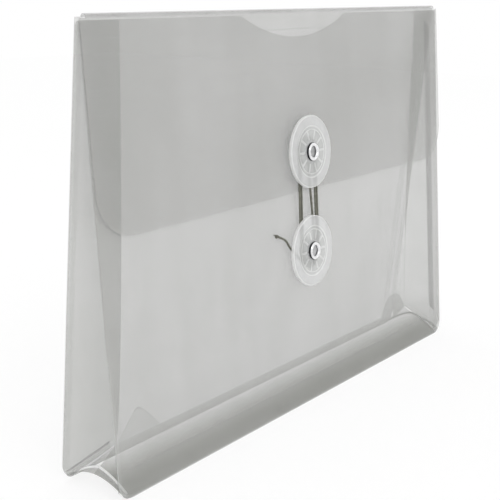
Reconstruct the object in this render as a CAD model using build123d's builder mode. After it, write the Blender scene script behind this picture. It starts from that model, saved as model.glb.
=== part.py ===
from build123d import *
import math
import os

os.makedirs("parts", exist_ok=True)

# Sizes of the whole envelope, in millimetres
width = 368.3
height = 247.65
spread = 43.4
sheet = 0.5
film = 0.4
gusset_half = 29.2
crease_radius = 1.8
crease_leg = 0.5
flap_gap = 0.45
flap_depth = 110.0
flap_corner = 24.0
panel_corner = 10.0
top_corner = 4.0
score_pitch = 12.1
score_depth = 0.15
notch_chord = 112.4
notch_depth = 13.0

# Sizes of the two buttons and of the cord
upper_button_drop = 86.1
lower_button_drop = 148.2
disc_radius = 22.3
disc_wall = 1.0
disc_lip = 0.9
hub_radius = 6.5
hub_height = 4.3
barrel_radius = 4.4
barrel_wall = 0.4
running_gap = 0.05
cord_diameter = 1.3
wrap_pitch = 2.0

# The panels lean together and meet at the crease along the top edge
half_width = width / 2
half_spread = spread / 2
back_length = height - crease_radius
lean = math.asin(half_spread / back_length)
back_lean = lean - math.asin(crease_radius / back_length)
front_lean = lean - math.asin((crease_radius - sheet - flap_gap) / back_length)
flap_lean = front_lean + math.radians(0.5)
foot = sheet * math.sin(front_lean)

back_plane = Plane(
    origin=(0, half_spread, foot),
    x_dir=(-1, 0, 0),
    z_dir=(0, math.cos(back_lean), math.sin(back_lean)),
)
front_plane = Plane(
    origin=(0, -half_spread, foot),
    x_dir=(1, 0, 0),
    z_dir=(0, -math.cos(front_lean), math.sin(front_lean)),
)
crease = back_plane.from_local_coords(Vector(0, back_length, -crease_radius))
flap_normal = Vector(0, -math.cos(flap_lean), math.sin(flap_lean))
flap_plane = Plane(
    origin=crease + flap_normal * crease_radius,
    x_dir=(1, 0, 0),
    z_dir=flap_normal,
)
front_top = back_length - 1.55


def back_inside(z):
    """Y of the rear panel's inner face at height z."""
    return half_spread - (z - foot) * math.tan(back_lean) - sheet / math.cos(back_lean)


def front_inside(z):
    """Y of the front panel's inner face at height z."""
    return (z - foot) * math.tan(front_lean) - half_spread + sheet / math.cos(front_lean)


def middle(z):
    """Y of the plane in which the two halves of a gusset meet."""
    return (back_inside(z) + front_inside(z)) / 2


ridge_z = math.sqrt(gusset_half**2 - (half_spread - sheet) ** 2)


def fold_depth(z):
    """Distance of a side gusset's inner fold from the side edge at height z."""
    if z <= ridge_z:
        return ridge_z + 0.09 * (ridge_z - z)
    half_gap = (back_inside(z) - front_inside(z)) / 2
    free = math.sqrt(gusset_half**2 - half_gap**2)
    pinch = math.sqrt(gusset_half**2 - ((back_inside(ridge_z) - front_inside(ridge_z)) / 2) ** 2)
    return free - (pinch - ridge_z) * math.exp((ridge_z - z) / 12)


# Weld strips, 8 mm wide, down the right side of both panels
weld_inner = 18.0
weld_outer = 10.0
weld_depth = 0.15
weld_bend = 5.0


def weld_outline(plane, side):
    """Face of a weld strip that bends outward at its foot; side is -1 or 1."""
    inner = side * (half_width - weld_inner)
    outer = side * (half_width - weld_outer)
    bend = side * weld_bend
    with BuildSketch(plane) as outline:
        with BuildLine():
            Polyline(
                (inner, 26),
                (inner, front_top - 2),
                (outer, front_top - 2),
                (outer, 28),
                (outer + bend, 5),
                (inner + bend, 3),
                close=True,
            )
        make_face()
    return outline.sketch


# Rear panel, the sheet that the flap continues over the top
with BuildPart() as back_panel:
    with BuildSketch(back_plane) as outline:
        with Locations((0, back_length / 2)):
            Rectangle(width, back_length)
        corners = outline.vertices().sort_by(Axis.Y)
        fillet(corners[:2], panel_corner)
        fillet(corners[2:], top_corner)
    extrude(amount=-sheet)
    extrude(weld_outline(back_plane, -1), amount=-weld_depth, mode=Mode.SUBTRACT)
back_panel.part.label = "back_panel"
export_step(back_panel.part, "parts/back_panel.step")

# Front panel with the shallow thumb notch in its top edge
notch_radius = ((notch_chord / 2) ** 2 + notch_depth**2) / (2 * notch_depth)
with BuildPart() as front_panel:
    with BuildSketch(front_plane) as outline:
        with Locations((0, front_top / 2)):
            Rectangle(width, front_top)
        fillet(outline.vertices().sort_by(Axis.Y)[:2], panel_corner)
        with Locations((0, front_top - notch_depth + notch_radius)):
            Circle(notch_radius, mode=Mode.SUBTRACT)
        with Locations((0, height - lower_button_drop)):
            Circle(barrel_radius, mode=Mode.SUBTRACT)
    extrude(amount=-sheet)
    extrude(weld_outline(front_plane, 1), amount=-weld_depth, mode=Mode.SUBTRACT)
front_panel.part.label = "front_panel"
export_step(front_panel.part, "parts/front_panel.step")

# Crease, the half round of sheet that joins the rear panel to the flap. Its
# straight leg keeps the flap's end clear of the rear panel once it lies open.
flap_down = Vector(0, -math.sin(flap_lean), -math.cos(flap_lean))
with BuildPart() as flap_crease:
    with BuildSketch(Plane.YZ) as profile:
        with BuildLine():
            start = math.degrees(back_lean)
            turn = 180 - start - math.degrees(flap_lean)
            outer = CenterArc((crease.Y, crease.Z), crease_radius, start, turn)
            inner = CenterArc((crease.Y, crease.Z), crease_radius - sheet, start, turn)
            leg = Vector(flap_down.Y, flap_down.Z) * crease_leg
            Line(outer @ 0, inner @ 0)
            outer_leg = Line(outer @ 1, outer @ 1 + leg)
            inner_leg = Line(inner @ 1, inner @ 1 + leg)
            Line(outer_leg @ 1, inner_leg @ 1)
        make_face()
    extrude(amount=half_width - top_corner, both=True)
flap_crease.part.label = "flap_crease"
export_step(flap_crease.part, "parts/flap_crease.step")

# Flap with its four score lines and the hole for the upper rivet
flap_length = flap_depth - crease_radius
with BuildPart() as flap_panel:
    with BuildSketch(flap_plane) as outline:
        with Locations((0, -(flap_length + crease_leg) / 2)):
            Rectangle(width, flap_length - crease_leg)
        corners = outline.vertices().sort_by(Axis.Y)
        fillet(corners[:2], flap_corner)
        fillet(corners[2:], top_corner)
        with Locations((0, crease_radius - upper_button_drop)):
            Circle(barrel_radius, mode=Mode.SUBTRACT)
    extrude(amount=-sheet)
    with BuildSketch(flap_plane):
        with Locations([(0, crease_radius - 11.8 - i * score_pitch) for i in range(4)]):
            Rectangle(width, 0.8)
    extrude(amount=-score_depth, mode=Mode.SUBTRACT)
flap_panel.part.label = "flap_panel"
export_step(flap_panel.part, "parts/flap_panel.step")


def between(x, x_edge, x_fold, y_edge, y_fold):
    """Y on the straight line from a gusset's outer edge to its fold."""
    return y_edge + (y_fold - y_edge) * (x - x_edge) / (x_fold - x_edge)


def side_strip(side, front, inner, thick, stop, levels):
    """Thin wall along one half of a side gusset; side is -1 or 1."""
    toward = 1 if front else -1
    with BuildPart() as made:
        for z in levels:
            depth = fold_depth(z)
            edge_y = front_inside(z) if front else back_inside(z)
            slope = abs(middle(z) - edge_y) / depth
            shear = toward * math.sqrt(1 + slope**2)
            fold_y = middle(z) - film * shear
            x_edge = side * half_width
            x_fold = side * (half_width - depth)
            x_stop = x_fold + side * stop
            y_stop = between(x_stop, x_edge, x_fold, edge_y, fold_y)
            with BuildSketch(Plane.XY.offset(z)):
                with BuildLine():
                    Polyline(
                        (x_edge, edge_y + inner * shear),
                        (x_stop, y_stop + inner * shear),
                        (x_stop, y_stop + (inner + thick) * shear),
                        (x_edge, edge_y + (inner + thick) * shear),
                        close=True,
                    )
                make_face()
        loft(ruled=True)
        split(bisect_by=mitre(side, 0.2), keep=Keep.TOP)
        with BuildSketch(Plane.XZ) as outline:
            with Locations((0, height / 2 + 5)):
                Rectangle(width, height + 10)
            fillet(outline.vertices().sort_by(Axis.Y)[:2], panel_corner)
        extrude(amount=spread, both=True, mode=Mode.INTERSECT)
    return made


def mitre(side, rise):
    """Plane at 45 degrees through a lower corner, facing the side gusset."""
    return Plane(
        origin=(side * half_width, 0, rise),
        x_dir=(0, 1, 0),
        z_dir=(side, 0, 1),
    )


# Side gussets, each of two halves folded inward between the panels
side_levels = [0.3, 10, ridge_z, 28, 40, 60, 100, 150, 200, 240]
left_gusset_front = side_strip(-1, True, 0, film, 0, side_levels)
left_gusset_front.part.label = "left_gusset_front"
export_step(left_gusset_front.part, "parts/left_gusset_front.step")

left_gusset_rear = side_strip(-1, False, 0, film, 0, side_levels)
left_gusset_rear.part.label = "left_gusset_rear"
export_step(left_gusset_rear.part, "parts/left_gusset_rear.step")

right_gusset_front = side_strip(1, True, 0, film, 0, side_levels)
right_gusset_front.part.label = "right_gusset_front"
export_step(right_gusset_front.part, "parts/right_gusset_front.step")

right_gusset_rear = side_strip(1, False, 0, film, 0, side_levels)
right_gusset_rear.part.label = "right_gusset_rear"
export_step(right_gusset_rear.part, "parts/right_gusset_rear.step")


# Mitre seams, the welded strips along the lower ends of the side gussets
seam_width = 5.0
seam_thick = 0.25


def mitre_seam(side, front):
    made = side_strip(side, front, film, seam_thick, 2.5, [0.3, 10, ridge_z, 28])
    with made:
        split(bisect_by=mitre(side, seam_width), keep=Keep.BOTTOM)
    return made


left_front_mitre_seam = mitre_seam(-1, True)
left_front_mitre_seam.part.label = "left_front_mitre_seam"
export_step(left_front_mitre_seam.part, "parts/left_front_mitre_seam.step")

left_rear_mitre_seam = mitre_seam(-1, False)
left_rear_mitre_seam.part.label = "left_rear_mitre_seam"
export_step(left_rear_mitre_seam.part, "parts/left_rear_mitre_seam.step")

right_front_mitre_seam = mitre_seam(1, True)
right_front_mitre_seam.part.label = "right_front_mitre_seam"
export_step(right_front_mitre_seam.part, "parts/right_front_mitre_seam.step")

right_rear_mitre_seam = mitre_seam(1, False)
right_rear_mitre_seam.part.label = "right_rear_mitre_seam"
export_step(right_rear_mitre_seam.part, "parts/right_rear_mitre_seam.step")

# Bottom gusset, folded upward; its ridge drops toward each open end
ridge_stations = [(3, 9.5), (10, 13.5), (ridge_z, ridge_z)]


def bottom_half(front):
    toward = 1 if front else -1
    low = 0.3
    edge_y = front_inside(low) if front else back_inside(low)
    left = [(x - half_width, z) for x, z in ridge_stations]
    right = [(half_width - x, z) for x, z in reversed(ridge_stations)]
    with BuildPart() as made:
        for x, z in left + right:
            slope = (z - low) / abs(middle(z) - edge_y)
            shear = toward * film * math.sqrt(1 + 1 / slope**2)
            with BuildSketch(Plane.YZ.offset(x)):
                with BuildLine():
                    Polyline(
                        (edge_y, low),
                        (middle(z) - shear, z),
                        (middle(z), z),
                        (edge_y + shear, low),
                        close=True,
                    )
                make_face()
        loft(ruled=True)
        with BuildSketch(Plane.XZ) as outline:
            with Locations((0, height / 2)):
                Rectangle(width, height)
            fillet(outline.vertices().sort_by(Axis.Y)[:2], panel_corner)
        extrude(amount=spread, both=True, mode=Mode.INTERSECT)
    return made


bottom_gusset_front = bottom_half(True)
bottom_gusset_front.part.label = "bottom_gusset_front"
export_step(bottom_gusset_front.part, "parts/bottom_gusset_front.step")

bottom_gusset_rear = bottom_half(False)
bottom_gusset_rear.part.label = "bottom_gusset_rear"
export_step(bottom_gusset_rear.part, "parts/bottom_gusset_rear.step")

# Corner tabs, the rounded ears where the gusset strips are welded together
tab_thick = 0.6


def corner_tab(side):
    with BuildPart() as made:
        with BuildSketch(Plane.XZ.offset(-middle(ridge_z))) as outline:
            with BuildLine():
                Polyline(
                    (side * (half_width - ridge_z - 0.6), ridge_z),
                    (side * (half_width - 39), 38.4),
                    (side * (half_width - 57), ridge_z),
                    close=True,
                )
            make_face()
            fillet(outline.vertices().sort_by(Axis.Y)[-1], 6)
        extrude(amount=tab_thick / 2, both=True)
    return made


left_corner_tab = corner_tab(-1)
left_corner_tab.part.label = "left_corner_tab"
export_step(left_corner_tab.part, "parts/left_corner_tab.step")

right_corner_tab = corner_tab(1)
right_corner_tab.part.label = "right_corner_tab"
export_step(right_corner_tab.part, "parts/right_corner_tab.step")

# Weld seams, the knurled strips pressed into both panels
with BuildPart() as right_front_weld:
    extrude(weld_outline(front_plane, 1), amount=-weld_depth)
right_front_weld.part.label = "right_front_weld"
export_step(right_front_weld.part, "parts/right_front_weld.step")

with BuildPart() as right_rear_weld:
    extrude(weld_outline(back_plane, -1), amount=-weld_depth)
right_rear_weld.part.label = "right_rear_weld"
export_step(right_rear_weld.part, "parts/right_rear_weld.step")

# Places of the two buttons, each a plane on the sheet that carries it
upper_place = Plane(
    origin=flap_plane.from_local_coords(Vector(0, crease_radius - upper_button_drop, 0)),
    x_dir=(1, 0, 0),
    z_dir=flap_plane.z_dir,
)
lower_place = Plane(
    origin=front_plane.from_local_coords(Vector(0, height - lower_button_drop, 0)),
    x_dir=(1, 0, 0),
    z_dir=front_plane.z_dir,
)


def disc(place):
    """Shallow cap with a turned down lip, a step and ribs round the middle."""
    top = hub_height + running_gap + disc_wall
    low = hub_height + running_gap
    with BuildPart() as made:
        with BuildSketch(Plane(place.origin, x_dir=place.x_dir, z_dir=-place.y_dir)):
            with BuildLine():
                Polyline(
                    (barrel_radius + running_gap, low),
                    (disc_radius - 2.2, low),
                    (disc_radius - 1.0, low - disc_lip),
                    (disc_radius, low - disc_lip),
                    (disc_radius, top - 0.9),
                    (disc_radius - 1.3, top + 0.3),
                    (15.8, top + 0.3),
                    (15.2, top),
                    (barrel_radius + running_gap, top),
                    close=True,
                )
            make_face()
        revolve(axis=Axis(place.origin, place.z_dir))
        with BuildSketch(Plane(place.origin + place.z_dir * top, x_dir=place.x_dir, z_dir=place.z_dir)):
            with PolarLocations(10.4, 10):
                SlotOverall(6.4, 1.0)
            Circle(14.1)
            Circle(13.3, mode=Mode.SUBTRACT)
            with PolarLocations(10.4, 10):
                SlotOverall(6.4, 1.0)
        extrude(amount=0.35)
    return made


upper_disc = disc(upper_place)
upper_disc.part.label = "upper_disc"
export_step(upper_disc.part, "parts/upper_disc.step")

lower_disc = disc(lower_place)
lower_disc.part.label = "lower_disc"
export_step(lower_disc.part, "parts/lower_disc.step")


def ring(place, start, rise, inside, outside):
    with BuildPart() as made:
        with BuildSketch(Plane(place.origin + place.z_dir * start, x_dir=place.x_dir, z_dir=place.z_dir)):
            Circle(outside)
            Circle(inside, mode=Mode.SUBTRACT)
        extrude(amount=rise)
    return made


# Hubs, the spacers that hold the discs off the sheet
upper_hub = ring(upper_place, 0, hub_height, barrel_radius, hub_radius)
upper_hub.part.label = "upper_hub"
export_step(upper_hub.part, "parts/upper_hub.step")

lower_hub = ring(lower_place, 0, hub_height, barrel_radius, hub_radius)
lower_hub.part.label = "lower_hub"
export_step(lower_hub.part, "parts/lower_hub.step")

# Washers behind the sheet, under the rolled ends of the rivets
washer_thick = 0.25
upper_washer = ring(upper_place, -sheet - washer_thick, washer_thick, barrel_radius, 7.2)
upper_washer.part.label = "upper_washer"
export_step(upper_washer.part, "parts/upper_washer.step")

lower_washer = ring(lower_place, -sheet - washer_thick, washer_thick, barrel_radius, 7.2)
lower_washer.part.label = "lower_washer"
export_step(lower_washer.part, "parts/lower_washer.step")


def rivet(place):
    """Hollow rivet: a rounded head, a thin barrel and a rolled rear end."""
    seat = hub_height + 2 * running_gap + disc_wall
    rear = -sheet - washer_thick
    bore = barrel_radius - barrel_wall
    with BuildPart() as made:
        with BuildSketch(Plane(place.origin, x_dir=place.x_dir, z_dir=-place.y_dir)) as section:
            with BuildLine():
                Polyline(
                    (bore, rear - 0.3),
                    (5.4, rear - 0.3),
                    (5.4, rear),
                    (barrel_radius, rear),
                    (barrel_radius, seat),
                    (5.75, seat),
                    (5.75, seat + 0.9),
                    (4.9, seat + 2.2),
                    (bore, seat + 1.5),
                    close=True,
                )
            make_face()
            fillet(section.vertices().sort_by(Axis.Y)[-1], 0.5)
        revolve(axis=Axis(place.origin, place.z_dir))
    return made


upper_rivet = rivet(upper_place)
upper_rivet.part.label = "upper_rivet"
export_step(upper_rivet.part, "parts/upper_rivet.step")

lower_rivet = rivet(lower_place)
lower_rivet.part.label = "lower_rivet"
export_step(lower_rivet.part, "parts/lower_rivet.step")

# Cord wound round both hubs in one flat spiral, with a short free tail
upper_seat = upper_place.origin + upper_place.z_dir * 1.8
lower_seat = lower_place.origin + lower_place.z_dir * 2.0
run = upper_seat - lower_seat
cord_plane = Plane(
    origin=lower_seat,
    x_dir=(1, 0, 0),
    z_dir=Vector(1, 0, 0).cross(run).normalized(),
)
span = run.length
first_wrap = hub_radius + cord_diameter / 2 + 0.1
wraps = [first_wrap + i * wrap_pitch for i in range(3)]


def lean_of(upper_radius, lower_radius):
    """Angle of the normal of a straight run between two wraps."""
    return math.degrees(math.asin((lower_radius - upper_radius) / span))


first_run = math.degrees(math.asin(wraps[0] / span))
tail_angle = 250.0
tail_straight = 14.0
tail_rise = 70.0
tail_curl = 82.0
with BuildPart() as string_tie:
    with BuildLine(cord_plane) as route:
        from_hub = (
            (hub_radius + 0.05) * math.sin(math.radians(first_run)),
            span - (hub_radius + 0.05) * math.cos(math.radians(first_run)),
        )
        low_one = CenterArc((0, 0), wraps[0], 180, 180 + first_run)
        start = Line(from_hub, low_one @ 1)
        up_one = Line(low_one @ 0, (-wraps[0], span))
        slant_one = -lean_of(wraps[0], wraps[1])
        high_one = CenterArc((0, span), wraps[0], slant_one, 180 - slant_one)
        low_two = CenterArc((0, 0), wraps[1], 180, 180 + slant_one)
        down_one = Line(high_one @ 0, low_two @ 1)
        up_two = Line(low_two @ 0, (-wraps[1], span))
        slant_two = -lean_of(wraps[1], wraps[2])
        high_two = CenterArc((0, span), wraps[1], slant_two, 180 - slant_two)
        low_three = CenterArc((0, 0), wraps[2], tail_angle, 360 - tail_angle + slant_two)
        down_two = Line(high_two @ 0, low_three @ 1)
        tail_one = PolarLine(low_three @ 0, tail_straight, direction=-(low_three % 0))
        tail_two = JernArc(tail_one @ 1, tail_one % 1, 9.6, -tail_rise)
        tail_three = PolarLine(tail_two @ 1, 2.5, direction=tail_two % 1)
        tail_four = JernArc(tail_three @ 1, tail_three % 1, 8.5, tail_curl)
        tail_five = PolarLine(tail_four @ 1, 3.5, direction=tail_four % 1)
    with BuildSketch(Plane(origin=tail_five @ 1, z_dir=tail_five % 1)):
        Circle(cord_diameter / 2)
    sweep(path=route.wire())
string_tie.part.label = "string_tie"
export_step(string_tie.part, "parts/string_tie.step")
cord_length = route.wire().length
steps = int(cord_length / 0.5)
marks = [route.wire() @ (i / steps) for i in range(steps + 1)]
apart = int(3 * cord_diameter / 0.5)
gap = min(
    (marks[i] - marks[j]).length
    for i in range(0, steps - apart, 2)
    for j in range(i + apart, steps)
)
print("cord length", cord_length, "least gap", gap - cord_diameter, "least radius", wraps[0])
print("cord volume", string_tie.part.volume, cord_length * math.pi * cord_diameter**2 / 4)
print("crease", crease, "upper disc", upper_place.origin, "lower disc", lower_place.origin)
print("cord normal", cord_plane.z_dir, "tail end", cord_plane.to_local_coords(tail_five @ 1))

# Knot at the free end of the cord, with a short frayed tip
knot_radius = 1.7
knot_plane = Plane(origin=tail_five @ 1, z_dir=tail_five % 1)
knot_centre = math.sqrt(knot_radius**2 - (cord_diameter / 2) ** 2)
with BuildPart() as string_end_knot:
    with Locations(knot_plane.offset(knot_centre)):
        Sphere(knot_radius)
    split(bisect_by=knot_plane, keep=Keep.TOP)
    with BuildSketch(knot_plane.offset(knot_centre)):
        Circle(0.5)
    extrude(amount=knot_radius + 2.4)
string_end_knot.part.label = "string_end_knot"
export_step(string_end_knot.part, "parts/string_end_knot.step")
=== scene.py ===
import bpy
import bmesh
import math
from mathutils import Matrix, Vector


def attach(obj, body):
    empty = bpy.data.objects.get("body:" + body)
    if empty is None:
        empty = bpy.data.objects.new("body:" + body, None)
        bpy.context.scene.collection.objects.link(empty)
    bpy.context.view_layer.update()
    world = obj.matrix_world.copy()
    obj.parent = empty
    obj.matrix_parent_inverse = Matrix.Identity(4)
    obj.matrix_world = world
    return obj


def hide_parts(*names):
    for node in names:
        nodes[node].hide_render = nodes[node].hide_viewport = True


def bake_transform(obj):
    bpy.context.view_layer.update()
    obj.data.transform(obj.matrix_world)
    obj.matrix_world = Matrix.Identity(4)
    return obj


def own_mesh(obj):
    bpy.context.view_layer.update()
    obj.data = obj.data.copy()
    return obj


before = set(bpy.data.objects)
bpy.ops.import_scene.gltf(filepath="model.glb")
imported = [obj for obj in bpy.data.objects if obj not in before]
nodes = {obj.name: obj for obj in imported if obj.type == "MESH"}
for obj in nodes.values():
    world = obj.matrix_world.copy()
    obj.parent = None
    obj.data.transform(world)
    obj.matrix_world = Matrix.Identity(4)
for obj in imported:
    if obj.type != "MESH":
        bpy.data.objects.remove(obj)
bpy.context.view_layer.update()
scene = bpy.context.scene
print("frame loaded:", len(nodes), "nodes")

envelope = {                # sizes of the envelope in mm, the same as the part's
    "halfWidth": 184.15,
    "halfSpread": 21.7,
    "backLength": 245.85,   # back panel from its foot to the crease's height
    "foot": 0.0424,
    "sheet": 0.5,
    "film": 0.4,
    "gussetHalf": 29.2,     # from a panel's edge to the inner fold
    "ridge": 20.08,         # height of the bottom gusset's fold
    "corner": 10.0,
    "flapLow": 133.6,       # a little below the flap's free edge
    "flapCorner": 24.0,
    "gussetTop": 243.4,
    "topCorner": 4.0,
    "roundFrom": 240.4,     # height where the top corners start to round
    "creaseRadius": 1.8,
    "creaseCentre": (-0.000534, 244.939),   # Y and Z
    "flapGap": 0.45,
}
lean = math.asin(envelope["halfSpread"] / envelope["backLength"])
backLean = lean - math.asin(envelope["creaseRadius"] / envelope["backLength"])
frontLean = lean - math.asin((envelope["creaseRadius"] - envelope["sheet"] - envelope["flapGap"])
                             / envelope["backLength"])
flapLean = frontLean + math.radians(0.5)
backNormal = Vector((0, math.cos(backLean), math.sin(backLean)))
frontNormal = Vector((0, -math.cos(frontLean), math.sin(frontLean)))
flapNormal = Vector((0, -math.cos(flapLean), math.sin(flapLean)))
creaseAt = Vector((0, *envelope["creaseCentre"]))

cameraLook = {
    "place": (-0.5533, -0.3683, 0.2616),
    "turn": 0.936,          # radians to the right of straight on
    "dip": 0.274,
    "roll": 0.012,
    "lensPixels": 1068.0,   # focal length in pixels of a 500 pixel frame
    "centre": (239.3, 282.4),
}


def addCamera(look):
    data = bpy.data.cameras.new("view")
    data.sensor_width = 36.0
    data.lens = look["lensPixels"] / 500.0 * 36.0
    data.shift_x = (250.0 - look["centre"][0]) / 500.0
    data.shift_y = (look["centre"][1] - 250.0) / 500.0
    camera = bpy.data.objects.new("view", data)
    scene.collection.objects.link(camera)
    turn, dip, roll = look["turn"], look["dip"], look["roll"]
    ahead = Vector((math.sin(turn) * math.cos(dip), math.cos(turn) * math.cos(dip), -math.sin(dip)))
    right = Vector((math.cos(turn), -math.sin(turn), 0))
    up = right.cross(ahead)
    right, up = (right * math.cos(roll) + up * math.sin(roll),
                 up * math.cos(roll) - right * math.sin(roll))
    matrix = Matrix((right, up, -ahead)).transposed().to_4x4()
    matrix.translation = Vector(look["place"])
    camera.matrix_world = matrix
    scene.camera = camera
    return camera


addCamera(cameraLook)
print("camera placed")


def backInside(z):          # Y of the back panel's inner face at height z
    return (envelope["halfSpread"] - (z - envelope["foot"]) * math.tan(backLean)
            - envelope["sheet"] / math.cos(backLean))


def frontInside(z):
    return ((z - envelope["foot"]) * math.tan(frontLean) - envelope["halfSpread"]
            + envelope["sheet"] / math.cos(frontLean))


def middle(z):
    return (backInside(z) + frontInside(z)) / 2


def foldDepth(z):           # how far in the side gusset's fold lies at height z
    ridge = envelope["ridge"]
    if z <= ridge:
        return ridge + 0.09 * (ridge - z)
    halfGap = (backInside(z) - frontInside(z)) / 2
    ridgeGap = (backInside(ridge) - frontInside(ridge)) / 2
    free = math.sqrt(envelope["gussetHalf"] ** 2 - halfGap ** 2)
    pinch = math.sqrt(envelope["gussetHalf"] ** 2 - ridgeGap ** 2)
    return free - (pinch - ridge) * math.exp((ridge - z) / 12)


def cornerRise(d):          # lowest Z of the rounded lower corner, d in from the side edge
    reach = envelope["corner"]
    if d >= reach:
        return 0.0
    return reach - math.sqrt(max(reach ** 2 - (reach - d) ** 2, 0.0))


def addPiece(name, shape, material):
    mesh = bpy.data.meshes.new(name)
    shape.to_mesh(mesh)
    shape.free()
    piece = bpy.data.objects.new(name, mesh)
    scene.collection.objects.link(piece)
    mesh.materials.append(material)
    return piece


def thinSheet(name, outer, inner, material, slotName, rimColumns=(), rimRows=(), borderRim=1.0):
    # closed thin wall between two grids of points in mm, its cut edges marked as rim
    shape = bmesh.new()
    rim = shape.faces.layers.float.new("rim")
    walls = [[[shape.verts.new(p / 1000) for p in row] for row in grid] for grid in (outer, inner)]
    rows, columns = len(outer), len(outer[0])
    for wall in walls:
        for i in range(rows - 1):
            for j in range(columns - 1):
                face = shape.faces.new((wall[i][j], wall[i][j + 1], wall[i + 1][j + 1], wall[i + 1][j]))
                face.smooth = True
                face[rim] = 1.0 if j in rimColumns or i in rimRows else 0.0
    border = [(0, j) for j in range(columns)] + [(i, columns - 1) for i in range(1, rows)]
    border += [(rows - 1, j) for j in range(columns - 2, -1, -1)] + [(i, 0) for i in range(rows - 2, 0, -1)]
    near, far = walls
    for (i, j), (k, m) in zip(border, border[1:] + border[:1]):
        face = shape.faces.new((near[i][j], near[k][m], far[k][m], far[i][j]))
        face[rim] = borderRim
        for edge in face.edges:
            if any(set(edge.verts) == {wall[i][j], wall[k][m]} for wall in walls):
                edge.smooth = False     # a crisp line where the wall turns into its cut edge
    bmesh.ops.recalc_face_normals(shape, faces=shape.faces)
    return addPiece(name, shape, material)


def newGroup(name, inputs, outputs):
    group = bpy.data.node_groups.new(name, "ShaderNodeTree")
    for label, kind, value in inputs:
        socket = group.interface.new_socket(label, in_out="INPUT", socket_type=kind)
        if value is not None:
            socket.default_value = value
    for label, kind in outputs:
        group.interface.new_socket(label, in_out="OUTPUT", socket_type=kind)
    return group, group.nodes.new("NodeGroupInput").outputs, group.nodes.new("NodeGroupOutput").inputs


def feed(tree, socket, value):
    if isinstance(value, bpy.types.NodeSocket):
        tree.links.new(value, socket)
    else:
        socket.default_value = value


def calc(tree, operation, *values):
    node = tree.nodes.new("ShaderNodeMath")
    node.operation = operation
    for socket, value in zip(node.inputs, values):
        feed(tree, socket, value)
    return node.outputs[0]


def times(tree, first, *others):
    for other in others:
        first = calc(tree, "MULTIPLY", first, other)
    return first


def step(tree, value, low, high):   # smooth rise from 0 at low to 1 at high
    node = tree.nodes.new("ShaderNodeMapRange")
    node.interpolation_type = "SMOOTHSTEP"
    for label, given in (("Value", value), ("From Min", low), ("From Max", high)):
        feed(tree, node.inputs[label], given)
    return node.outputs["Result"]


def fall(tree, value, low, high):   # smooth drop from 1 at low to 0 at high
    return calc(tree, "SUBTRACT", 1.0, step(tree, value, low, high))


def blendColour(tree, share, first, second):
    node = tree.nodes.new("ShaderNodeMix")
    node.data_type = "RGBA"
    feed(tree, node.inputs["Factor"], share)
    feed(tree, node.inputs["A"], first)
    feed(tree, node.inputs["B"], second)
    return node.outputs["Result"]


def blendValue(tree, share, first, second):
    node = tree.nodes.new("ShaderNodeMix")
    feed(tree, node.inputs[0], share)
    feed(tree, node.inputs[2], first)
    feed(tree, node.inputs[3], second)
    return node.outputs[0]


def makeGrain():            # cloudy tint and the fine grain of calendered plastic
    group, given, out = newGroup("plasticGrain", [
        ("Position", "NodeSocketVector", None),
        ("Cloud Scale", "NodeSocketFloat", 14.0),
        ("Grain Scale", "NodeSocketFloat", 900.0),
        ("Streak", "NodeSocketFloat", 0.3),
    ], [("Cloud", "NodeSocketFloat"), ("Height", "NodeSocketFloat")])
    cloud = group.nodes.new("ShaderNodeTexNoise")
    cloud.inputs["Detail"].default_value = 3.0
    grain = group.nodes.new("ShaderNodeTexNoise")
    grain.inputs["Detail"].default_value = 2.0
    streak = group.nodes.new("ShaderNodeTexNoise")
    streak.inputs["Scale"].default_value = 60.0
    stretch = group.nodes.new("ShaderNodeVectorMath")
    stretch.operation = "MULTIPLY"
    stretch.inputs[1].default_value = (1.0, 0.05, 0.05)
    group.links.new(given["Position"], stretch.inputs[0])
    group.links.new(stretch.outputs[0], streak.inputs["Vector"])
    for node, label in ((cloud, "Cloud Scale"), (grain, "Grain Scale")):
        group.links.new(given["Position"], node.inputs["Vector"])
        group.links.new(given[label], node.inputs["Scale"])
    mixed = blendValue(group, given["Streak"], cloud.outputs["Fac"], streak.outputs["Fac"])
    group.links.new(step(group, mixed, 0.3, 0.7), out["Cloud"])
    group.links.new(grain.outputs["Fac"], out["Height"])
    return group


def makeCutEdge():          # 1 on the cut edges of a sheet, 0 on its faces
    group, given, out = newGroup("cutEdge", [
        ("Normal", "NodeSocketVector", None),
        ("Flat Normal", "NodeSocketVector", (0, 1, 0)),
    ], [("Mask", "NodeSocketFloat")])
    dot = group.nodes.new("ShaderNodeVectorMath")
    dot.operation = "DOT_PRODUCT"
    group.links.new(given["Normal"], dot.inputs[0])
    group.links.new(given["Flat Normal"], dot.inputs[1])
    facing = calc(group, "ABSOLUTE", dot.outputs["Value"])
    group.links.new(fall(group, facing, 0.4, 0.8), out["Mask"])
    return group


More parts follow.
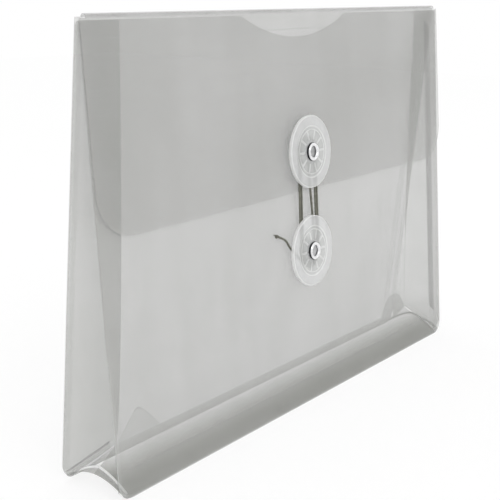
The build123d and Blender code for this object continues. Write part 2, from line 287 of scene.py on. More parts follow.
def makeBorder():           # distance inward from the edge of a rounded rectangle, in metres
    group, given, out = newGroup("borderDistance", [
        ("Along", "NodeSocketFloat", None),
        ("Up", "NodeSocketFloat", None),
        ("Half Width", "NodeSocketFloat", 0.184),
        ("Low", "NodeSocketFloat", 0.0),
        ("High", "NodeSocketFloat", 0.24),
        ("Corner", "NodeSocketFloat", 0.01),
    ], [("Distance", "NodeSocketFloat")])
    across = calc(group, "SUBTRACT", calc(group, "ABSOLUTE", given["Along"]), given["Half Width"])
    centre = calc(group, "MULTIPLY", calc(group, "ADD", given["Low"], given["High"]), 0.5)
    halfHigh = calc(group, "MULTIPLY", calc(group, "SUBTRACT", given["High"], given["Low"]), 0.5)
    upright = calc(group, "ABSOLUTE", calc(group, "SUBTRACT", given["Up"], centre))
    upright = calc(group, "SUBTRACT", upright, halfHigh)
    reachA = calc(group, "ADD", across, given["Corner"])
    reachB = calc(group, "ADD", upright, given["Corner"])
    outsideA = calc(group, "MAXIMUM", reachA, 0.0)
    outsideB = calc(group, "MAXIMUM", reachB, 0.0)
    diagonal = calc(group, "ADD", times(group, outsideA, outsideA), times(group, outsideB, outsideB))
    diagonal = calc(group, "SQRT", diagonal)
    inside = calc(group, "MINIMUM", calc(group, "MAXIMUM", reachA, reachB), 0.0)
    signed = calc(group, "SUBTRACT", calc(group, "ADD", diagonal, inside), given["Corner"])
    group.links.new(calc(group, "MULTIPLY", signed, -1.0), out["Distance"])
    return group


def makeScore():            # evenly spaced pressed lines, 1 in each line
    group, given, out = newGroup("scoreLines", [
        ("Down", "NodeSocketFloat", None),
        ("First", "NodeSocketFloat", 0.01),
        ("Pitch", "NodeSocketFloat", 0.0121),
        ("Last", "NodeSocketFloat", 0.05),
        ("Width", "NodeSocketFloat", 0.0004),
        ("Margin", "NodeSocketFloat", 0.003),
    ], [("Mask", "NodeSocketFloat")])
    place = calc(group, "DIVIDE", calc(group, "SUBTRACT", given["Down"], given["First"]), given["Pitch"])
    away = calc(group, "ABSOLUTE", calc(group, "SUBTRACT", place, calc(group, "ROUND", place)))
    away = times(group, away, given["Pitch"])
    line = fall(group, away, times(group, given["Width"], 0.6), times(group, given["Width"], 1.4))
    above = calc(group, "SUBTRACT", given["First"], given["Margin"])
    below = calc(group, "ADD", given["Last"], given["Margin"])
    starts = calc(group, "GREATER_THAN", given["Down"], above)
    ends = calc(group, "LESS_THAN", given["Down"], below)
    group.links.new(times(group, line, starts, ends), out["Mask"])
    return group


grainGroup = makeGrain()
cutEdgeGroup = makeCutEdge()
borderGroup = makeBorder()
scoreGroup = makeScore()


def useGroup(tree, group, **values):
    node = tree.nodes.new("ShaderNodeGroup")
    node.node_tree = group
    for label, value in values.items():
        feed(tree, node.inputs[label.replace("_", " ")], value)
    return node.outputs


def newMaterial(name):
    material = bpy.data.materials.new(name)
    material.use_nodes = True
    return material, material.node_tree, material.node_tree.nodes["Principled BSDF"].inputs


def bumpFrom(tree, height, distance, strength):
    bump = tree.nodes.new("ShaderNodeBump")
    bump.inputs["Distance"].default_value = distance
    bump.inputs["Strength"].default_value = strength
    feed(tree, bump.inputs["Height"], height)
    return bump.outputs["Normal"]


def rgb(values):
    return (*values, 1.0)


def objectPlace(tree):      # the texture coordinates, and the object's own ones as X, Y and Z
    where = tree.nodes.new("ShaderNodeTexCoord").outputs
    split = tree.nodes.new("ShaderNodeSeparateXYZ")
    tree.links.new(where["Object"], split.inputs[0])
    return where, split.outputs


def axisDistance(tree, split):      # from a button's axis, in metres
    squares = [times(tree, split[label], split[label]) for label in ("X", "Y")]
    return calc(tree, "SQRT", calc(tree, "ADD", *squares))


def grainAt(tree, where, look):
    return useGroup(tree, grainGroup, Position=where["Object"], Cloud_Scale=look["cloud"],
                    Grain_Scale=look["grain"], Streak=look.get("streak", 0.0))


def cloudyCover(tree, grain, look):
    clear, cloudy = look["coverSpread"]
    return blendValue(tree, grain["Cloud"], look["cover"] * clear, look["cover"] * cloudy)


def finishSurface(tree, shader, look, grain, tint, cover=None):
    tree.links.new(tint, shader["Base Color"])
    if cover is not None:
        tree.links.new(cover, shader["Alpha"])
    tree.links.new(blendValue(tree, grain["Cloud"], *look["roughness"]), shader["Roughness"])
    tree.links.new(bumpFrom(tree, grain["Height"], *look["bump"]), shader["Normal"])


sheetLook = {               # distances in metres
    "tint": (0.440, 0.440, 0.428),      # milky smoke grey polypropylene
    "deepTint": (0.395, 0.398, 0.380),  # where the cloudy tint is strongest
    "edgeTint": (0.66, 0.67, 0.66),     # painted highlight on the cut edges near the floor; the hem and the score lines lighten toward it
    # the cut edges higher up, without the painted highlight
    "highEdgeTint": (0.27, 0.27, 0.26),
    "cover": 0.246,                     # share of the light that one face stops
    "coverSpread": (0.96, 1.05),        # times the cover, in the clear and the cloudy places
    "edgeCover": 0.42,
    "nearFloor": (0.02, 0.11),          # height over which the painted highlight on the edges and the hem fades
    "highHem": 0.1,                     # share of the hem that shows above that
    "hem": (0.0016, 0.0023),            # in from the edge, where the welded hem ends
    "hemTint": 0.30,                    # how far the hem goes toward the edge tint
    "hemCover": 0.06,                   # added along the hem
    "bandRise": (0.0018, 0.0026),       # the darker band inside the hem
    "bandDrop": (0.0045, 0.0062),
    "bandCover": 0.04,
    "strip": (0.17375, 0.17455),        # where the strip right of the weld starts
    "stripCover": 0.0,
    "score": {"First": 0.0100, "Pitch": 0.0121, "Last": 0.0463, "Width": 0.0004},
    "scoreTint": 0.28,                  # how far a score line goes toward the edge tint
    "scoreCover": 0.10,
    "underCrease": (0.2425, 0.2435),    # height at which the crease starts to hide the cut edges
    "cloud": 13.0,
    "grain": 850.0,
    "streak": 0.35,
    "roughness": (0.34, 0.44),
    "bump": (0.0001, 0.025),
}


def sheetMaterial(name, normal, look, low, high, corner, scored=False):
    material, tree, shader = newMaterial(name)
    where, split = objectPlace(tree)
    grain = grainAt(tree, where, look)
    cut = useGroup(tree, cutEdgeGroup, Normal=where["Normal"], Flat_Normal=tuple(normal))["Mask"]
    border = useGroup(tree, borderGroup, Along=split["X"], Up=split["Z"], Low=low / 1000, High=high / 1000,
                      Half_Width=envelope["halfWidth"] / 1000, Corner=corner / 1000)["Distance"]
    near = blendValue(tree, fall(tree, split["Z"], *look["nearFloor"]), look["highHem"], 1.0)
    hem = times(tree, near, fall(tree, border, *look["hem"]))
    band = times(tree, step(tree, border, *look["bandRise"]), fall(tree, border, *look["bandDrop"]))
    strip = step(tree, split["X"], *look["strip"])
    tint = blendColour(tree, grain["Cloud"], rgb(look["tint"]), rgb(look["deepTint"]))
    # the welded hem, lightened toward the edge tint by a painted highlight that is strongest near the floor
    tint = blendColour(tree, times(tree, hem, look["hemTint"]), tint, rgb(look["edgeTint"]))
    added = [(hem, "hemCover"), (band, "bandCover"), (strip, "stripCover")]
    if scored:
        down = calc(tree, "SUBTRACT", creaseAt.z / 1000, split["Z"])
        down = calc(tree, "DIVIDE", down, math.cos(flapLean))
        score = useGroup(tree, scoreGroup, Down=down, **look["score"])["Mask"]
        tint = blendColour(tree, times(tree, score, look["scoreTint"]), tint, rgb(look["edgeTint"]))
        added.append((score, "scoreCover"))
    cover = cloudyCover(tree, grain, look)
    for mask, label in added:
        cover = calc(tree, "ADD", cover, times(tree, mask, look[label]))
    cut = times(tree, cut, fall(tree, split["Z"], *look["underCrease"]))
    # cut edges: painted highlight near the floor, the darker high edge tint above
    edge = blendColour(tree, near, rgb(look["highEdgeTint"]), rgb(look["edgeTint"]))
    tint = blendColour(tree, cut, tint, edge)
    cover = blendValue(tree, cut, cover, look["edgeCover"])
    finishSurface(tree, shader, look, grain, tint, cover)
    return material


filmLook = {                # heights in metres
    "tint": (0.470, 0.475, 0.450),
    "deepTint": (0.420, 0.427, 0.395),
    "floorShadeTint": (0.470, 0.475, 0.450),   # near the floor: painted shade, with an olive tint in the bottom film
    "edgeTint": (0.40, 0.405, 0.385),
    "cover": 0.20,
    "coverSpread": (0.94, 1.08),
    "lowCover": 0.0,                    # added near the floor, deepening the painted shade there
    "low": (0.0039, 0.0195),            # height over which the part near the floor ends
    "edgeCover": 0.30,
    "cloud": 16.0,
    "grain": 950.0,
    "streak": 0.2,
    "roughness": (0.38, 0.50),
    "bump": (0.0001, 0.03),
}
filmChanges = {             # what each film has instead
    "creaseSheet": {"tint": (0.40, 0.40, 0.39), "deepTint": (0.36, 0.36, 0.35), "floorShadeTint": (0.40, 0.40, 0.39),
                    "cover": 0.30, "cloud": 30.0},
    "sideFilm": {},
    "rightFilm": {"floorShadeTint": (0.36, 0.365, 0.34), "lowCover": 0.12, "low": (0.0068, 0.034)},
    "bottomFilm": {"tint": (0.44, 0.445, 0.42), "floorShadeTint": (0.225, 0.232, 0.196),
                   "edgeTint": (0.27, 0.275, 0.25), "cover": 0.14, "lowCover": 0.52,
                   "low": (0.0041, 0.0205), "edgeCover": 0.5, "roughness": (0.62, 0.74), "cloud": 20.0},
    "rearBottomFilm": {"floorShadeTint": (0.40, 0.405, 0.375), "edgeTint": (0.27, 0.275, 0.25), "cover": 0.05,
                       "lowCover": 0.12, "edgeCover": 0.4, "cloud": 20.0},
    # the welded end bead, painted near white as a highlight
    "highlightBeadFilm": {"tint": (0.93, 0.93, 0.93), "deepTint": (0.86, 0.86, 0.86), "floorShadeTint": (0.93, 0.93, 0.93),
                 "cover": 0.86, "cloud": 60.0},
    "seamFilm": {"edgeTint": (0.22, 0.22, 0.21), "cover": 0.07, "edgeCover": 0.24, "cloud": 60.0},
    "farSeamFilm": {"cover": 0.03, "edgeCover": 0.06, "cloud": 60.0},
    "earFilm": {"cover": 0.10, "edgeCover": 0.2, "cloud": 40.0},
    "rightEarFilm": {"tint": (0.40, 0.405, 0.385), "cover": 0.2, "edgeCover": 0.2, "cloud": 40.0},
    "weldFilm": {"cover": 0.06, "edgeCover": 0.2, "cloud": 80.0},
    "knurlFilm": {"tint": (0.14, 0.14, 0.135), "deepTint": (0.11, 0.11, 0.105), "cover": 0.72,
                  "roughness": (0.3, 0.42), "cloud": 120.0},
    "rearKnurlFilm": {"cover": 0.05, "roughness": (0.3, 0.42), "cloud": 120.0},
}


def filmMaterial(name, look):
    material, tree, shader = newMaterial(name)
    where, split = objectPlace(tree)
    grain = grainAt(tree, where, look)
    mark = tree.nodes.new("ShaderNodeAttribute")
    mark.attribute_name = "rim"
    low = fall(tree, split["Z"], *look["low"])
    tint = blendColour(tree, grain["Cloud"], rgb(look["tint"]), rgb(look["deepTint"]))
    # painted shade toward the floor, olive in the bottom film
    tint = blendColour(tree, low, tint, rgb(look["floorShadeTint"]))
    tint = blendColour(tree, mark.outputs["Fac"], tint, rgb(look["edgeTint"]))
    cover = cloudyCover(tree, grain, look)
    cover = calc(tree, "ADD", cover, times(tree, low, look["lowCover"]))
    cover = blendValue(tree, mark.outputs["Fac"], cover, look["edgeCover"])
    finishSurface(tree, shader, look, grain, tint, cover)
    return material


aboveTop = 262.0            # mm, so that the rounded border ends above the sheets
backSheet = sheetMaterial("backSheet", backNormal, sheetLook, 0.0, aboveTop, envelope["corner"])
frontSheet = sheetMaterial("frontSheet", frontNormal, {**sheetLook, "stripCover": 0.12}, 0.0, aboveTop,
                           envelope["corner"])
flapSheet = sheetMaterial("flapSheet", flapNormal,
                          {**sheetLook, "hemTint": 0.1, "hemCover": 0.02, "bandCover": 0.0},
                          envelope["flapLow"], aboveTop, envelope["flapCorner"], scored=True)
films = {name: filmMaterial(name, {**filmLook, **changes}) for name, changes in filmChanges.items()}
print("plastics mixed")


def paintNode(node, material):
    nodes[node].data.materials.clear()
    nodes[node].data.materials.append(material)


paintNode("back_panel", backSheet)
paintNode("front_panel", frontSheet)
paintNode("flap_panel", flapSheet)
paintNode("right_front_weld", films["weldFilm"])
paintNode("right_rear_weld", films["weldFilm"])


sideGussetLook = {
    "columns": (0.0, 0.004, 0.012, 0.025, 0.045, 0.07, 0.1, 0.13, 0.17, 0.22, 0.3, 0.4, 0.5, 0.6, 0.7,
                0.8, 0.88, 0.94, 0.98, 1.0),    # shares of the way from the side edge to the fold
    "rows": 44,
    "crowding": 1.5,        # power by which the rows crowd toward the foot
    "bulge": 0.7,           # how far the film bellies inward, mm
    "bulgeFrom": 22.0,      # height where the belly starts, and over which it grows
    "bulgeGrows": 40.0,
    "seamWidth": 4.8,
    "seamThick": 0.25,
    "seamStart": 0.95,      # in from the side edge
    "seamStop": 2.5,        # short of the fold
    "seamSteps": 24,
    "mitreGap": 0.2,        # film above the mitre line
    "bendReach": 20.0,      # from the side edge inward
    "bendHeight": 60.0,
}


def lowestAt(share):        # lower boundary of a side gusset, on the mitre line or the rounded corner
    z = envelope["corner"]
    for _ in range(12):
        d = share * foldDepth(z)
        z = max(d + sideGussetLook["mitreGap"], cornerRise(d))
    return z


def highestAt(share):       # upper boundary, rounded like the panels' top corners
    d = share * foldDepth(envelope["gussetTop"])
    reach = envelope["topCorner"]
    if d >= reach:
        return envelope["gussetTop"]
    return min(envelope["gussetTop"], envelope["roundFrom"] + math.sqrt(reach ** 2 - (reach - d) ** 2))


def gussetPoint(side, front, share, z, out, look):  # out: mm from the film's outer face toward the middle
    toward = 1 if front else -1
    edgeY = frontInside(z) if front else backInside(z)
    depth = foldDepth(z)
    shear = math.sqrt(1 + ((middle(z) - edgeY) / depth) ** 2)
    foldY = middle(z) - toward * envelope["film"] * shear
    grown = min(1.0, max(0.0, (z - look["bulgeFrom"]) / look["bulgeGrows"]))
    belly = look["bulge"] * math.sin(math.pi * share) ** 2 * grown
    y = edgeY + (foldY - edgeY) * share + toward * (out * shear + belly)
    return Vector((side * (envelope["halfWidth"] - share * depth), y, z))


def addSideGusset(side, front, look):
    sideName, faceName = "left" if side < 0 else "right", "front" if front else "rear"
    label = sideName + "_gusset_" + faceName
    grids = [[], []]
    for share in look["columns"]:
        low = lowestAt(share)
        top = highestAt(share)
        shares = [(k / look["rows"]) ** look["crowding"] for k in range(look["rows"] + 1)]
        heights = [low + (top - low) * up for up in shares]
        for grid, out in zip(grids, (0.0, envelope["film"])):
            grid.append([gussetPoint(side, front, share, z, out, look) for z in heights])
    piece = thinSheet(label + "_film", *grids, films["sideFilm" if side < 0 else "rightFilm"], "film")
    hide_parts(label)
    bendSide(piece, front)
    label = sideName + "_" + faceName + "_mitre_seam"
    grids = [[], []]
    first, last = look["seamStart"], foldDepth(envelope["ridge"]) - look["seamStop"]
    for k in range(look["seamSteps"] + 1):
        depth = first + (last - first) * k / look["seamSteps"]
        low = max(depth + look["mitreGap"], cornerRise(depth))
        high = depth + look["mitreGap"] + look["seamWidth"]
        heights = [low + (high - low) * m / 4 for m in range(5)]
        for grid, out in zip(grids, (envelope["film"] + 0.01, envelope["film"] + look["seamThick"])):
            grid.append([gussetPoint(side, front, depth / foldDepth(z), z, out, look) for z in heights])
    seam = thinSheet(label + "_strip", *grids, films["seamFilm" if side < 0 else "farSeamFilm"], "weld",
                     rimColumns=(3,))
    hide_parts(label)
    bendSide(seam, front)


def bendSide(piece, front):
    if front:
        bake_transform(piece)
    else:
        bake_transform(piece)


for side in (-1, 1):
    for front in (True, False):
        addSideGusset(side, front, sideGussetLook)
print("side gussets made")


bottomLook = {
    "ends": (3.0, 3.3, 3.8, 4.6, 5.4, 6.2, 6.9, 7.8, 10.0, 12.5, 15.0, 17.5, 20.08, 26.0, 34.0, 45.0),
    "between": [79.9 + 34.75 * k for k in range(7)],    # stations between the ends
    "beadAt": 6,            # which of the end stations carries the bead; the sealed band lies outside it
    "ridge": ((3.0, 9.5), (10.0, 13.5), (20.08, 20.08)),    # distance from the end, height
    "across": 14,
    "sealed": (3.2, 6.5),   # thicker stretch near each end
    "sealedThick": 0.6,
    "beadRadius": 0.75,     # of the round bead along it
    "arch": 8.0,            # distance over which the round end turns into the sharp fold
    "foldThin": 0.55,       # share of its thickness that the film loses at the fold
    "lowest": 0.02,         # kept off the floor
    "bend": 0.0212,         # metres from the middle to a panel
}


def addTube(shape, path, radius, sides, taper=None):
    rings = []
    for k, point in enumerate(path):
        ahead = (path[min(k + 1, len(path) - 1)] - path[max(k - 1, 0)]).normalized()
        if rings:
            across = (lastAcross - ahead * lastAcross.dot(ahead)).normalized()
        else:
            across = ahead.orthogonal().normalized()
        lastAcross = across
        up = ahead.cross(across)
        size = radius * (taper(k / (len(path) - 1)) if taper else 1.0)
        turns = [2 * math.pi * m / sides for m in range(sides)]
        rings.append([shape.verts.new(point + size * (across * math.cos(turn) + up * math.sin(turn)))
                      for turn in turns])
    for one, two in zip(rings, rings[1:]):
        for m in range(sides):
            shape.faces.new((one[m], one[(m + 1) % sides], two[(m + 1) % sides], two[m])).smooth = True
    shape.faces.new(rings[0])
    shape.faces.new(rings[-1])


def ridgeHeight(d):
    points = bottomLook["ridge"]
    for (d0, z0), (d1, z1) in zip(points, points[1:]):
        if d <= d1:
            share = (d - d0) / (d1 - d0)
            return z0 + (z1 - z0) * share
    return points[-1][1]


def addBottomGusset(front, look):
    faceName = "front" if front else "rear"
    label = "bottom_gusset_" + faceName
    toward = 1 if front else -1
    stations = [(-1, d) for d in look["ends"]] + [(-1, d) for d in look["between"]]
    stations += [(1, d) for d in reversed(look["ends"])]
    grids = [[], []]
    for side, d in stations:
        reach = min(d, 2 * envelope["halfWidth"] - d)
        top = ridgeHeight(reach)
        low = max(0.3, cornerRise(reach) + 0.05)
        bow = math.exp(-(reach - look["ends"][0]) / look["arch"])
        sealed = look["sealed"][0] < reach < look["sealed"][1]
        thick = look["sealedThick"] if sealed else envelope["film"]
        edgeY = frontInside(low) if front else backInside(low)
        slope = (top - low) / abs(middle(top) - edgeY)
        x = side * (envelope["halfWidth"] - d)
        for grid in grids:
            grid.append([])
        for k in range(look["across"] + 1):
            p = k / look["across"]
            z = low + (top - low) * ((1 - bow) * p + bow * math.sin(math.pi * p / 2) ** 0.9)
            y = edgeY + (middle(z) - edgeY) * p
            over = thick * (1 - look["foldThin"] * p)
            shift = toward * over * slope / math.sqrt(1 + slope ** 2) * (1 - p) ** 0.5
            under = max(z - over / math.sqrt(1 + slope ** 2), look["lowest"])
            grids[0][-1].append(Vector((x, y, z)))
            grids[1][-1].append(Vector((x, y + shift, under)))
    last = len(grids[0]) - 2
    band = range(look["beadAt"])
    piece = thinSheet(label + "_film", *grids, films["bottomFilm" if front else "rearBottomFilm"], "film",
                      rimRows=[*band, *(last - k for k in band)], borderRim=0.1)
    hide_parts(label)
    bendBottom(piece, front)
    lift = Vector((0, 0, look["beadRadius"] * 0.35))
    for sideName, row in (("left", grids[0][look["beadAt"]]), ("right", grids[0][-1 - look["beadAt"]])):
        shape = bmesh.new()
        addTube(shape, [(point + lift) / 1000 for point in row[1:]], look["beadRadius"] / 1000, 10)
        bmesh.ops.recalc_face_normals(shape, faces=shape.faces)
        bead = addPiece(sideName + "_end_bead_" + faceName, shape, films["highlightBeadFilm"])
        bendBottom(bead, front)


def bendBottom(piece, front):
    if front:
        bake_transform(piece)
    else:
        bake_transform(piece)


addBottomGusset(True, bottomLook)
addBottomGusset(False, bottomLook)
print("bottom gusset made")


earLook = {
    "centre": 39.0,         # from the side edge
    "apex": 38.4,
    "round": 2.5,
    "reach": (21.4, 56.4),
    "thick": 0.6,
    "hump": 14.2,           # rise of the right one over the fold
    "humpPowers": (2.4, 0.8),
    "curl": 1.0,
    "curlOver": 18.0,       # height over which the ear curls back by that much
    "steps": 36,
    "rows": (0, 0.15, 0.3, 0.45, 0.6, 0.75, 0.87, 0.94, 1.0),
}


def earTop(side, d, look):
    if side < 0:
        return look["apex"] - math.sqrt((d - look["centre"]) ** 2 + look["round"] ** 2)
    u = (d - look["centre"]) / (look["reach"][1] - look["centre"] + 0.1)     # pressed into a soft hump
    inner, outer = look["humpPowers"]
    return envelope["ridge"] + look["hump"] * max(0.0, 1 - abs(u) ** inner) ** outer


def addEar(side, look):
    label = ("left" if side < 0 else "right") + "_corner_tab"
    grids = [[], []]
    low = envelope["ridge"] + 0.05
    first, last = look["reach"]
    for k in range(look["steps"] + 1):
        d = first + (last - first) * k / look["steps"]
        top = max(earTop(side, d, look), low + 0.3)
        for grid in grids:
            grid.append([])
        for share in look["rows"]:
            z = low + (top - low) * share
            y = middle(z) + look["curl"] * ((z - low) / look["curlOver"]) ** 2
            half = look["thick"] / (5 if share == 1.0 else 2)   # thinner at its rim
            for grid, offset in zip(grids, (-half, half)):
                grid[-1].append(Vector((side * (envelope["halfWidth"] - d), y + offset, z)))
    piece = thinSheet(label + "_ear", *grids, films["earFilm" if side < 0 else "rightEarFilm"], "film",
                      rimColumns=(7,))
    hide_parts(label)
    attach(piece, "gusset")


for side in (-1, 1):
    addEar(side, earLook)


creaseLook = {
    "inner": 1.3,
    "outer": 1.8,
    "leg": 0.5,             # straight bit between the bend and the flap
    "inset": 4.0,           # rounded top corners
    "steps": 22,
    "spans": 24,
    # offsets from the crease line, in metres, between which it turns from the front panel to the flap
    "bendFrom": (0, 0.0009, 0.0003),
    "bendTo": (0, -0.0018, -0.0012),
}


def addCrease(look):
    start, end = backLean, math.pi - flapLean
    paths = []
    for radius in (look["outer"], look["inner"]):
        line = []
        for k in range(look["steps"] + 1):
            angle = start + (end - start) * k / look["steps"]
            line.append(creaseAt + radius * Vector((0, math.cos(angle), math.sin(angle))))
        last = line[-1] + look["leg"] * Vector((0, -math.sin(end), math.cos(end)))
        paths.append(line + [last])
    grids = [[], []]
    half = envelope["halfWidth"] - look["inset"]
    for k in range(look["spans"] + 1):
        x = -half + 2 * half * k / look["spans"]
        for grid, path in zip(grids, paths):
            grid.append([Vector((x, p.y, p.z)) for p in path])
    piece = thinSheet("flap_crease_bend", *grids, films["creaseSheet"], "sheet", borderRim=0.0)
    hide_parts("flap_crease")
    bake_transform(piece)


addCrease(creaseLook)
print("ears and crease made")


knurlLook = {
    "pitch": 2.6,
    "width": 0.95,
    "height": 0.1,
    "slant": -7.0,          # rise of a rib over the strip's width
    "inner": 18.0,
    "outer": 10.0,
    "from": 26.0,
    "to": 232.0,
    "lift": 0.01,
    # shares of the strip's width with the rib's height there, then half widths with its rounded section
    "along": ((0.03, 0.4), (0.1, 1.0), (0.5, 1.0), (0.9, 1.0), (0.97, 0.4)),
    "section": ((-1, 0.0), (-0.5, 0.8), (0, 1.0), (0.5, 0.8), (1, 0.0)),
}


def addKnurl(front, look):
    normal = frontNormal if front else backNormal
    leaning = frontLean if front else backLean
    base = -envelope["halfSpread"] if front else envelope["halfSpread"]
    slope = math.tan(leaning) * (1 if front else -1)
    shape = bmesh.new()
    xInner, xOuter = envelope["halfWidth"] - look["inner"], envelope["halfWidth"] - look["outer"]

    def onFace(x, z, lift):
        y = base + (z - envelope["foot"]) * slope
        return (Vector((x, y, z)) + normal * lift) / 1000

    z = look["from"]
    while z + look["slant"] < look["to"]:
        ends = []
        for share, part in look["along"]:
            x = xInner + (xOuter - xInner) * share
            high = z + look["slant"] * share
            full = look["height"] * part
            ends.append([shape.verts.new(onFace(x, high + w * look["width"] / 2, look["lift"] + full * h))
                         for w, h in look["section"]])
        for one, two in zip(ends, ends[1:]):
            for m in range(5):
                face = shape.faces.new((one[m], one[(m + 1) % 5], two[(m + 1) % 5], two[m]))
                face.smooth = m != 4
        shape.faces.new(ends[0])
        shape.faces.new(ends[-1])
        z += look["pitch"]
    bmesh.ops.recalc_face_normals(shape, faces=shape.faces)
    piece = addPiece("right_" + ("front" if front else "rear") + "_weld_knurl", shape,
                     films["knurlFilm" if front else "rearKnurlFilm"])
    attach(piece, "front" if front else "back")


addKnurl(True, knurlLook)
addKnurl(False, knurlLook)
print("weld knurl made")


buttonPlaces = {            # centre on the sheet's outer face and the way out of it
    "upper": (Vector((0, -9.67576, 161.177)), flapNormal),
    "lower": (Vector((0, -13.2646, 99.134)), frontNormal),
}


def placeOn(where):         # local X to the right, local Y up the panel, local Z out of it
    origin, normal = buttonPlaces[where]
    across = Vector((1, 0, 0))
    matrix = Matrix((across, normal.cross(across), normal)).transposed().to_4x4()
    matrix.translation = origin / 1000
    return matrix


def lathed(profile, segments, liftAt):      # closed profile in mm turned about Z; liftAt raises its points
    shape = bmesh.new()
    rings = []
    for index, (radius, z) in enumerate(profile):
        ring = []
        for k in range(segments):
            angle = 2 * math.pi * k / segments
            place = (radius * math.cos(angle), radius * math.sin(angle), z + liftAt(index, radius, z, angle))
            ring.append(shape.verts.new(Vector(place) / 1000))
        rings.append(ring)
    for one, two in zip(rings, rings[1:] + rings[:1]):
        for k in range(segments):
            n = (k + 1) % segments
            shape.faces.new((one[k], one[n], two[n], two[k])).smooth = True
    bmesh.ops.recalc_face_normals(shape, faces=shape.faces)
    return shape


discLook = {
    "segments": 200,
    "spokes": 10,
    "spokeFrom": 7.2,
    "spokeTo": 13.4,
    "spokeWidth": 1.3,
    "raise": 0.35,
    "highest": 5.70,
    "under": ((4.45, 4.40), (20.9, 4.35), (21.25, 4.2), (21.3, 3.6), (21.45, 3.46), (22.1, 3.46),
              (22.28, 3.62)),
    "over": ((22.3, 4.0), (22.3, 4.9), (22.15, 5.3), (21.8, 5.52), (21.3, 5.63), (20.5, 5.65), (18.5, 5.65),
             (16.4, 5.65), (16.0, 5.63), (15.75, 5.52), (15.55, 5.38), (15.2, 5.33), (14.8, 5.33),
             (14.4, 5.34), (14.1, 5.36), (13.95, 5.55), (13.7, 5.66), (13.45, 5.66), (13.25, 5.55),
             (13.1, 5.38), (12.4, 5.35), (11.4, 5.35), (10.4, 5.35), (9.4, 5.35), (8.4, 5.35), (7.8, 5.35),
             (7.2, 5.35), (6.6, 5.35), (5.9, 5.35), (5.0, 5.33), (4.6, 5.28), (4.45, 5.1)),
}


def spokeHeight(radius, angle, look):
    turn = 2 * math.pi / look["spokes"]
    away = abs((angle + turn / 2) % turn - turn / 2) * radius
    side = 1 - min(1.0, max(0.0, (away - look["spokeWidth"] * 0.3) / (look["spokeWidth"] * 0.45)))
    starts = min(1.0, max(0.0, (radius - look["spokeFrom"]) / 0.6))
    ends = min(1.0, max(0.0, (look["spokeTo"] - radius) / 0.3))
    return look["raise"] * side * side * (3 - 2 * side) * starts * ends


def addDisc(where, look):
    def spokeLift(index, radius, z, angle):
        if index < len(look["under"]):
            return 0.0
        return min(spokeHeight(radius, angle, look), max(0.0, look["highest"] - z))

    shape = lathed(look["under"] + look["over"], look["segments"], spokeLift)
    piece = addPiece(where + "_disc_moulded", shape, discPlastic)
    piece.matrix_world = placeOn(where)
    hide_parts(where + "_disc")
    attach(piece, where + "_button")


discFinish = {              # distances in metres, from the disc's axis or up from the sheet
    "tint": (0.745, 0.75, 0.75),
    "windowTint": (0.66, 0.67, 0.66),   # between the spokes
    "highlightLineTint": (0.87, 0.87, 0.87),     # painted highlight on the outer edge, the rings and the spokes
    "cover": 0.40,
    "rimCover": 0.36,
    "lineCover": 0.54,
    "cloudCover": 0.05,
    "windowFrom": (0.0066, 0.0076),
    "rimFrom": (0.0150, 0.0158),
    "raised": (0.00540, 0.00562),
    "grooveRise": (0.0152, 0.0155),
    "grooveDrop": (0.0160, 0.0164),
    "outerEdge": (0.0214, 0.0220),
    "grooveShare": 0.6,
    "spokeShare": 0.5,
    "cloud": 90.0,
    "grain": 2200.0,
    "roughness": (0.28, 0.40),
    "bump": (0.00004, 0.05),
}


def discMaterial(look):
    material, tree, shader = newMaterial("discPlastic")
    where, split = objectPlace(tree)
    grain = grainAt(tree, where, look)
    radius = axisDistance(tree, split)
    rim = step(tree, radius, *look["rimFrom"])
    raised = step(tree, split["Z"], *look["raised"])
    window = calc(tree, "SUBTRACT", 1.0, calc(tree, "MAXIMUM", rim, raised))
    window = times(tree, window, step(tree, radius, *look["windowFrom"]))
    spoke = times(tree, raised, calc(tree, "SUBTRACT", 1.0, rim), look["spokeShare"])
    groove = times(tree, step(tree, radius, *look["grooveRise"]), fall(tree, radius, *look["grooveDrop"]),
                   look["grooveShare"])
    line = calc(tree, "MAXIMUM", step(tree, radius, *look["outerEdge"]), groove)
    line = calc(tree, "MAXIMUM", spoke, line)
    tint = blendColour(tree, window, rgb(look["tint"]), rgb(look["windowTint"]))
    # painted highlight on the outer edge, the groove ring and the spokes
    tint = blendColour(tree, line, tint, rgb(look["highlightLineTint"]))
    cover = blendValue(tree, rim, look["cover"], look["rimCover"])
    cover = blendValue(tree, line, cover, look["lineCover"])
    cover = calc(tree, "ADD", cover, times(tree, grain["Cloud"], look["cloudCover"]))
    finishSurface(tree, shader, look, grain, tint, cover)
    return material


discPlastic = discMaterial(discFinish)
for where in buttonPlaces:
    addDisc(where, discLook)


hubFinish = {
    "tint": (0.80, 0.81, 0.81),
    "shade": (0.66, 0.67, 0.67),
    "cover": (0.75, 0.85),
    "cloud": 150.0,
    "grain": 2400.0,
    "roughness": (0.35, 0.45),
    "bump": (0.00006, 0.15),
}


def hubMaterial(look):
    material, tree, shader = newMaterial("hubPlastic")
    where = objectPlace(tree)[0]
    grain = grainAt(tree, where, look)
    tint = blendColour(tree, grain["Cloud"], rgb(look["tint"]), rgb(look["shade"]))
    finishSurface(tree, shader, look, grain, tint, blendValue(tree, grain["Cloud"], *look["cover"]))
    return material


